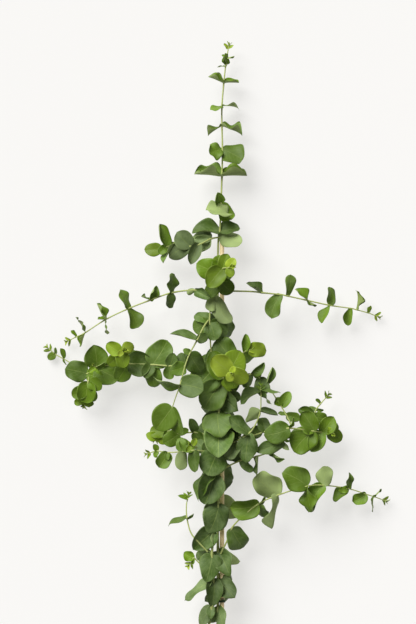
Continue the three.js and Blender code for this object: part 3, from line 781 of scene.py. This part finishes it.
def corners(base, length, width, axes):
    """The corners of the design's plate for a leaf."""
    along, across, out = axes
    spots = []
    for share, half in (BUD_ROWS if length < BUD_LENGTH else LEAF_ROWS):
        middle = base + (along * share - out * DROOP * share * share) * length * MM
        for side in (-1, 1):
            for face in (-1, 1):
                edge = across * side * half * width * length / 2 + out * face * LEAF_THICK / 2
                spots.append(middle + edge * MM)
    return spots


CORNER_TREES = {}


def corner_tree(node):
    """The corners of a design node, ready to be searched."""
    if node not in CORNER_TREES:
        points = frame["nodes"][node].data.vertices
        tree = kdtree.KDTree(len(points))
        for index, point in enumerate(points):
            tree.insert(point.co, index)
        tree.balance()
        CORNER_TREES[node] = tree
    return CORNER_TREES[node]


def leaf_pose(node, base, length, heading, lift, roll, width):
    """The axes that the design gave a leaf, out of the turns it may take to clear a neighbour."""
    tree = corner_tree(node)
    best = (0, leaf_axes(heading, lift, roll))
    for roll_by in ROLLS:
        for lift_by in LIFTS:
            axes = leaf_axes(heading, lift + lift_by, roll + roll_by)
            spots = corners(base, length, width, axes)
            count = sum(tree.find(spot)[2] < SAME_CORNER for spot in spots)
            if count > best[0]:
                best = (count, axes)
    return best[1]


def tone_and_painted_light_of(number, lift):
    """A leaf's own tone of green, which differs at random, with painted shade where it hangs at the back and
    painted light where it rises.
    """
    spread = 0.19 * math.sin(number * 7.7) + 0.08 * math.sin(number * 3.1)
    # Painted shade on leaves that hang back (lift below -10) and painted light on leaves that rise (lift
    # above 15).
    return 0.95 + spread - 0.18 * (lift < -10) + 0.1 * (lift > 15)


def leaves_of(rows, node, habit, first=0):
    """Every leaf of some nodes of a stem, as a dictionary of what the leaf tree reads."""
    young, fresh, egg, pointed, wavy, cup = habit
    made = []
    for index, (x, y, z, *leaves) in enumerate(rows):
        share = index / max(1, len(rows) - 1)
        age = young + (fresh - young) * share
        for length, heading, lift, roll, *more in leaves:
            width = more[0] if more else ROUND
            base = place((x, y, z))
            axes = leaf_pose(node, base, length, heading, lift, roll, width)
            number = first + len(made)
            made.append({
                "base": base, "along": axes[0], "across": axes[1], "out": axes[2],
                "length": length * MM, "width": width,
                "age": age + 0.16 * math.sin(number * 2.4) + 0.1 * math.sin(number * 5.1),
                "egg": egg + 0.06 * math.sin(number * 3.3),
                "pointed": pointed,
                "wavy": wavy,
                "cup": cup * (0.55 + 0.75 * math.sin(number * 4.7 + 0.9)),
                "tone_and_painted_light": tone_and_painted_light_of(number, lift),
                "leaf_id": number,
            })
    return made


def points_mesh(name, leaves):
    """A mesh of bare points, one for each leaf, that carry what the leaf tree reads."""
    mesh = bpy.data.meshes.new(name)
    mesh.from_pydata([leaf["base"] for leaf in leaves], [], [])
    for key in ("base", "along", "across", "out"):
        layer = mesh.attributes.new(key, "FLOAT_VECTOR", "POINT")
        layer.data.foreach_set("vector", [number for leaf in leaves for number in leaf[key]])
    for key in ("length", "width", "age", "egg", "pointed", "wavy", "cup", "tone_and_painted_light"):
        layer = mesh.attributes.new(key, "FLOAT", "POINT")
        layer.data.foreach_set("value", [leaf[key] for leaf in leaves])
    layer = mesh.attributes.new("leaf_id", "INT", "POINT")
    layer.data.foreach_set("value", [leaf["leaf_id"] for leaf in leaves])
    return mesh


TREES = {}


def grow_leaves(name, leaves, slot, seed):
    """The blades of some leaves as one piece."""
    sizes = bpy.context.scene.branch_sizes
    if "leaf" not in TREES:
        TREES["leaf"] = leaf_tree()
    values = {
        "Rows": sizes.leaf_rows,
        "Columns": sizes.leaf_columns,
        "Thickness": sizes.leaf_thickness,
        "Droop": DROOP,
        "Cup": sizes.leaf_cup,
        "Wave": sizes.leaf_wave,
        "Lobe": sizes.leaf_lobe,
        "Seed": seed,
        "Material": material(slot),
    }
    return run_tree(name, points_mesh(name, leaves), TREES["leaf"], values)


# ---------------------------------------------------------------------------------------------
# Stems


def stem_tree():
    """Turns a line of points into a closed round stem, as thick as each point says."""
    f = Fields("Round stem", {
        "Sides": ("Int", 12),
        "Material": ("Material", None),
    })
    g = f.given
    line = f.node("GeometryNodeMeshToCurve", inputs={"Mesh": g["Geometry"]})
    ring = f.node("GeometryNodeCurvePrimitiveCircle", inputs={"Resolution": g["Sides"], "Radius": 1.0})
    inputs = {"Curve": line, "Profile Curve": ring, "Scale": f.named("thick"), "Fill Caps": True}
    tube = f.node("GeometryNodeCurveToMesh", inputs=inputs)
    tube = f.node("GeometryNodeSetShadeSmooth", inputs={"Geometry": tube})
    tube = f.node("GeometryNodeRealizeInstances", inputs={"Geometry": tube})
    tube = f.node("GeometryNodeSetMaterial", inputs={"Geometry": tube, "Material": g["Material"]})
    return f.finish(tube)


def smooth_line(points, steps):
    """Points along a Catmull-Rom curve through the given ones."""
    spots = [Vector(point) for point in points]
    spots = [2 * spots[0] - spots[1], *spots, 2 * spots[-1] - spots[-2]]
    line = []
    for index in range(1, len(spots) - 2):
        a, b, c, d = spots[index - 1:index + 3]
        for step in range(steps):
            t = step / steps
            line.append(0.5 * (2 * b + (c - a) * t + (2 * a - 5 * b + 4 * c - d) * t ** 2
                               + (3 * b - a - 3 * c + d) * t ** 3))
    return [*line, spots[-2]]


def stem_mesh(name, rows, foot, tip, ages, steps=8):
    """A line of points for a stem, thicker at each node that bears leaves."""
    line = smooth_line([place(row[:3]) for row in rows], steps)
    thick, age = [], []
    for index in range(len(line)):
        share = index / (len(line) - 1)
        near = round(index / steps)
        swell = 0.28 * math.exp(-((index / steps - near) * 6) ** 2) * (len(rows[near]) > 3)
        thick.append((foot + (tip - foot) * share) * MM * (1 + swell))
        age.append(ages[0] + (ages[1] - ages[0]) * share)
    mesh = bpy.data.meshes.new(name)
    mesh.from_pydata(line, [(i, i + 1) for i in range(len(line) - 1)], [])
    for key, values in (("thick", thick), ("age", age)):
        mesh.attributes.new(key, "FLOAT", "POINT").data.foreach_set("value", values)
    return mesh


def grow_stem(name, rows, foot, tip, ages, slot="stem_bark"):
    if "stem" not in TREES:
        TREES["stem"] = stem_tree()
    sides = bpy.context.scene.branch_sizes.stem_sides
    values = {"Sides": sides, "Material": material(slot)}
    return run_tree(name, stem_mesh(name, rows, foot, tip, ages), TREES["stem"], values)


def tip_of(rows):
    """The far end of a shoot's bare tip, and the way that it points."""
    last, before = Vector(rows[-1][:3]), Vector(rows[-2][:3])
    way = (last - before).normalized()
    return last + way * TIP_LENGTH, way


def tip_buds(rows):
    """The smallest leaves, in two folded pairs and a single one at a shoot's tip."""
    tip, way = tip_of(rows)
    heading = math.degrees(math.atan2(way.y, way.x))
    lift = math.degrees(math.asin(max(-1, min(1, way.z))))
    low = [[11, heading + 46, lift + 12, 20, 0.5], [10, heading - 44, lift + 6, -25, 0.5]]
    high = [[8, heading + 24, lift + 16, 60, 0.45], [7.5, heading - 28, lift - 6, -50, 0.45]]
    return [[*(tip - way * TIP_LENGTH * 0.8), *low], [*tip, *high, [6, heading, lift, 30, 0.5]]]


# ---------------------------------------------------------------------------------------------
# Sizes and colours that a user would change


def length_prop(name, description, default):
    return bpy.props.FloatProperty(name=name, description=description, default=default, min=0, unit="LENGTH")


def share_prop(name, description, default):
    return bpy.props.FloatProperty(name=name, description=description, default=default, subtype="FACTOR")


def angle_prop(name, description, default):
    return bpy.props.FloatProperty(name=name, description=description, default=default, subtype="ANGLE")


def count_prop(name, description, default):
    return bpy.props.IntProperty(name=name, description=description, default=default, min=3)


def colour_prop(name, description, default):
    return bpy.props.FloatVectorProperty(
        name=name, description=description, default=default, subtype="COLOR", min=0, max=1)


class BranchSizes(bpy.types.PropertyGroup):
    leaf_thickness: length_prop("Leaf thickness", "Thickness of a blade at its midrib", 0.00045)
    leaf_cup: angle_prop("Leaf cup", "Angle that a leaf's edges turn up by", 0.8)
    leaf_wave: share_prop("Leaf wave", "Height of the waves in a leaf's margin, over its length", 0.08)
    leaf_lobe: share_prop("Leaf lobe", "How far the outline swells and dips, over its width", 0.06)
    leaf_rows: count_prop("Leaf rows", "Points along a blade", 20)
    leaf_columns: count_prop("Leaf columns", "Points across a blade", 13)
    stem_sides: count_prop("Stem sides", "Points round a stem", 12)
    bloom: share_prop("Bloom", "Strength of the grey bloom on old leaves", 0.6)
    camera_height: length_prop("Camera height", "Height of the camera above the branch", 4.0)
    view_height: length_prop("View height", "Length of branch that the picture takes in", 0.9984)
    floor_size: length_prop("Floor size", "Side of the floor", 24.0)


class BranchColours(bpy.types.PropertyGroup):
    leaf_old: colour_prop("Old leaf", "Upper face of an old leaf", (0.066, 0.125, 0.016))
    leaf_fresh: colour_prop("Fresh leaf", "Upper face of a full-grown young leaf", (0.13, 0.228, 0.008))
    leaf_new: colour_prop("New leaf", "Upper face of the newest leaves", (0.32, 0.42, 0.03))
    leaf_bloom: colour_prop("Bloom", "Grey bloom on the upper face", (0.172, 0.235, 0.09))
    leaf_under: colour_prop("Underside", "Underside of an old leaf", (0.25, 0.325, 0.12))
    leaf_under_new: colour_prop("New underside", "Underside of a new leaf", (0.32, 0.41, 0.1))
    vein: colour_prop("Vein", "Midrib, veins and margin", (0.34, 0.43, 0.1))
    stem_old: colour_prop("Old stem", "Bark near the foot", (0.3, 0.34, 0.1))
    stem_new: colour_prop("New stem", "Bark near the tips", (0.42, 0.48, 0.15))
    stem_streak: colour_prop("Stem streak", "Streaks in the bark", (0.5, 0.5, 0.2))
    cane_light: colour_prop("Cane", "Lit grain of the cane", (1.0, 0.82, 0.5))
    cane_dark: colour_prop("Cane grain", "Dark grain of the cane", (0.92, 0.71, 0.4))
    cane_joint: colour_prop("Cane joint", "Rings at the cane's joints", (0.3, 0.18, 0.08))
    tie: colour_prop("Tie", "Band that holds the stem to the cane", (0.03, 0.06, 0.025))
    tie_worn: colour_prop("Worn tie", "Lighter grain of the band", (0.06, 0.1, 0.045))
    floor: colour_prop("Floor", "The surface that the branch lies on", (0.32, 0.316, 0.309))


# ---------------------------------------------------------------------------------------------
# Operators


class BuildCane(bpy.types.Operator):
    """Builds the cane, with its joints, and its cut ends"""

    bl_idname = "branch.cane"
    bl_label = "Cane"

    def execute(self, context):
        spots, thick, joint = [], [], []
        for index in range(CANE_STEPS + 1):
            y = CANE_FOOT + (CANE_TOP - CANE_FOOT) * index / CANE_STEPS
            near = min(abs(y - one) for one in CANE_JOINTS)
            swell = 0.07 * math.exp(-(near / 2.2) ** 2) - 0.05 * math.exp(-((near - 4) / 2) ** 2)
            at_end = index in (0, CANE_STEPS)
            spots.append(place((0, y, CANE_HEIGHT)))
            thick.append(CANE_RADIUS * MM * (0.985 + swell) * (0.86 if at_end else 1))
            joint.append(math.exp(-(near / 0.9) ** 2) + 0.5 * at_end)
        mesh = bpy.data.meshes.new("cane_line")
        mesh.from_pydata(spots, [(i, i + 1) for i in range(CANE_STEPS)], [])
        for key, values in (("thick", thick), ("joint", joint)):
            mesh.attributes.new(key, "FLOAT", "POINT").data.foreach_set("value", values)
        if "stem" not in TREES:
            TREES["stem"] = stem_tree()
        values = {"Sides": 28, "Material": material("cane_wood")}
        piece = run_tree("support_cane", mesh, TREES["stem"], values)
        hand_over(piece, "cane_wood", "cane")
        return {"FINISHED"}


class BuildTies(bpy.types.Operator):
    """Winds the bands that hold the main stem to the cane"""

    bl_idname = "branch.ties"
    bl_label = "Ties"

    def execute(self, context):
        radius = CANE_RADIUS + TIE_WIRE + 0.1
        reach = CANE_RADIUS + STEM_RADIUS + GAP
        turns, steps = 2.25, 40
        for number, height in enumerate(TIE_HEIGHTS, 1):
            rows = []
            for index in range(int(turns * steps) + 1):
                angle = 2 * math.pi * index / steps
                x = radius * math.cos(angle) - (reach if math.cos(angle) < 0 else 0)
                z = radius * math.sin(angle)
                rise = (index / (turns * steps) - 0.5) * 3.6
                rows.append([x, height + rise, CANE_HEIGHT + z])
            tail = Vector(rows[-1])
            rows.append([tail.x + 1.5, tail.y + 1.2, tail.z + 2.2])
            rows.append([tail.x + 2.4, tail.y + 3.0, tail.z + 4.4])
            piece = grow_stem(f"tie_wire_{number}", rows, TIE_WIRE, TIE_WIRE, (0, 0), "tie_band")
            hand_over(piece, "tie_band", f"tie_{number}")
        return {"FINISHED"}


class BuildStems(bpy.types.Operator):
    """Builds the two upright stems, the main one with its leader"""

    bl_idname = "branch.stems"
    bl_label = "Upright stems"

    def execute(self, context):
        for name, rows in (("main_stem", MAIN_STEM), ("second_stem", SECOND_STEM)):
            piece = grow_stem(name + "_bark", rows, STEM_RADIUS, STEM_TIP_RADIUS, (0.1, 1.0))
            hand_over(piece, "stem_bark", name)
        return {"FINISHED"}


class BuildLeafPairs(bpy.types.Operator):
    """Grows the pairs of leaves that clasp the upright stems"""

    bl_idname = "branch.pairs"
    bl_label = "Leaf pairs"

    def execute(self, context):
        number = 0
        for stem, rows in (("main_stem", MAIN_STEM), ("second_stem", SECOND_STEM)):
            label = stem.split("_")[0]
            for index, row in enumerate(rows):
                if len(row) == 3:
                    continue
                number += 1
                node = f"{label}_pair_{number}"
                share = index / (len(rows) - 1)
                habit = "foot" if row[1] < FOOT_TOP else "leader" if row[1] > LEADER_FOOT else stem
                young, fresh, *rest = HABITS[habit]
                age = young + (fresh - young) * share
                leaves = leaves_of([row], node, (age, age, *rest), number * 10)
                piece = grow_leaves(f"{label}_leaves_{number}", leaves, "mature_leaf", number)
                hand_over(piece, "mature_leaf", node)
        return {"FINISHED"}


class BuildShoots(bpy.types.Operator):
    """Grows every side shoot: its stem, its leaves and the buds at its tip"""

    bl_idname = "branch.shoots"
    bl_label = "Side shoots"

    def execute(self, context):
        slots = {part["node"]: part["material_slot"] for part in frame["record"]["subparts"]}
        for number, (name, rows) in enumerate(SHOOTS.items(), 1):
            habit = HABITS[name]
            line = [*rows, [*tip_of(rows)[0]]]
            stem = grow_stem(name + "_stem", line, SHOOT_RADIUS, SHOOT_TIP_RADIUS, (0.5, 1.2))
            hand_over(stem, "stem_bark", name)
            leaves = leaves_of(rows, name, habit, number * 100)
            last = (habit[1] + 0.4, habit[1] + 0.7, 0.0, 0.3, 1.0, 1.4)
            leaves += leaves_of(tip_buds(rows), name, last, number * 100 + 60)
            slot = slots[name]
            blades = grow_leaves(name + "_leaves", leaves, slot, number + 50)
            hand_over(blades, slot, name)
        return {"FINISHED"}


class BuildStage(bpy.types.Operator):
    """Lays the floor, and sets the lights and the camera"""

    bl_idname = "branch.stage"
    bl_label = "Stage"

    def execute(self, context):
        sizes = context.scene.branch_sizes
        side = sizes.floor_size / 2
        low = min(0.0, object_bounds()[0][2])
        square = [(-side, -side, low), (side, -side, low), (side, side, low), (-side, side, low)]
        mesh = bpy.data.meshes.new("floor")
        mesh.from_pydata(square, [], [(0, 1, 2, 3)])
        mesh.materials.append(material("floor"))
        floor = bpy.data.objects.new("floor", mesh)
        context.collection.objects.link(floor)
        floor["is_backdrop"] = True
        self.light_it(context)
        self.aim(context, sizes)
        return {"FINISHED"}

    def light_it(self, context):
        world = bpy.data.worlds.new("studio")
        world.use_nodes = True
        world.node_tree.nodes["Background"].inputs["Color"].default_value = (1, 1, 1, 1)
        world.node_tree.nodes["Background"].inputs["Strength"].default_value = 0.18
        context.scene.world = world
        context.scene.view_settings.view_transform = "Standard"
        for name, kind, spot, soft, power in (
            ("key", "SUN", (-1.9, 2.6, 2.7), 0.75, 4.0),
            ("fill", "AREA", (1.8, -0.8, 3.0), 3.0, 10),
        ):
            data = bpy.data.lights.new(name, kind)
            setattr(data, "angle" if kind == "SUN" else "size", soft)
            data.energy = power
            lamp = bpy.data.objects.new(name, data)
            lamp.location = spot
            lamp.rotation_euler = Vector(spot).to_track_quat("Z", "Y").to_euler()
            context.collection.objects.link(lamp)

    def aim(self, context, sizes):
        data = bpy.data.cameras.new("camera")
        data.sensor_fit = "VERTICAL"
        data.sensor_height = 36
        camera = bpy.data.objects.new("camera", data)
        middle = place(VIEW_MIDDLE)
        camera.location = middle + Vector((0, 0, sizes.camera_height))
        data.lens = data.sensor_height * sizes.camera_height / sizes.view_height
        context.collection.objects.link(camera)
        context.scene.camera = camera


# The operators in the order that they run.
STEPS = (BuildCane, BuildTies, BuildStems, BuildLeafPairs, BuildShoots, BuildStage)


class BranchPanel(bpy.types.Panel):
    """Lists the branch's sizes, colours and building steps"""

    bl_idname = "VIEW3D_PT_branch"
    bl_label = "Eucalyptus branch"
    bl_space_type = "VIEW_3D"
    bl_region_type = "UI"
    bl_category = "Branch"

    def draw(self, context):
        for group in (context.scene.branch_sizes, context.scene.branch_colours):
            for name in group.bl_rna.properties.keys():
                if name not in ("rna_type", "name"):
                    self.layout.prop(group, name)
        for step in STEPS:
            self.layout.operator(step.bl_idname)


CLASSES = (BranchSizes, BranchColours, *STEPS, BranchPanel)


def register():
    for one in CLASSES:
        bpy.utils.register_class(one)
    bpy.types.Scene.branch_sizes = bpy.props.PointerProperty(type=BranchSizes)
    bpy.types.Scene.branch_colours = bpy.props.PointerProperty(type=BranchColours)


def unregister():
    del bpy.types.Scene.branch_sizes
    del bpy.types.Scene.branch_colours
    for one in reversed(CLASSES):
        bpy.utils.unregister_class(one)


def main():
    register()
    for step in STEPS:
        group, name = step.bl_idname.split(".")
        getattr(getattr(bpy.ops, group), name)()


if __name__ == "__main__":
    main()
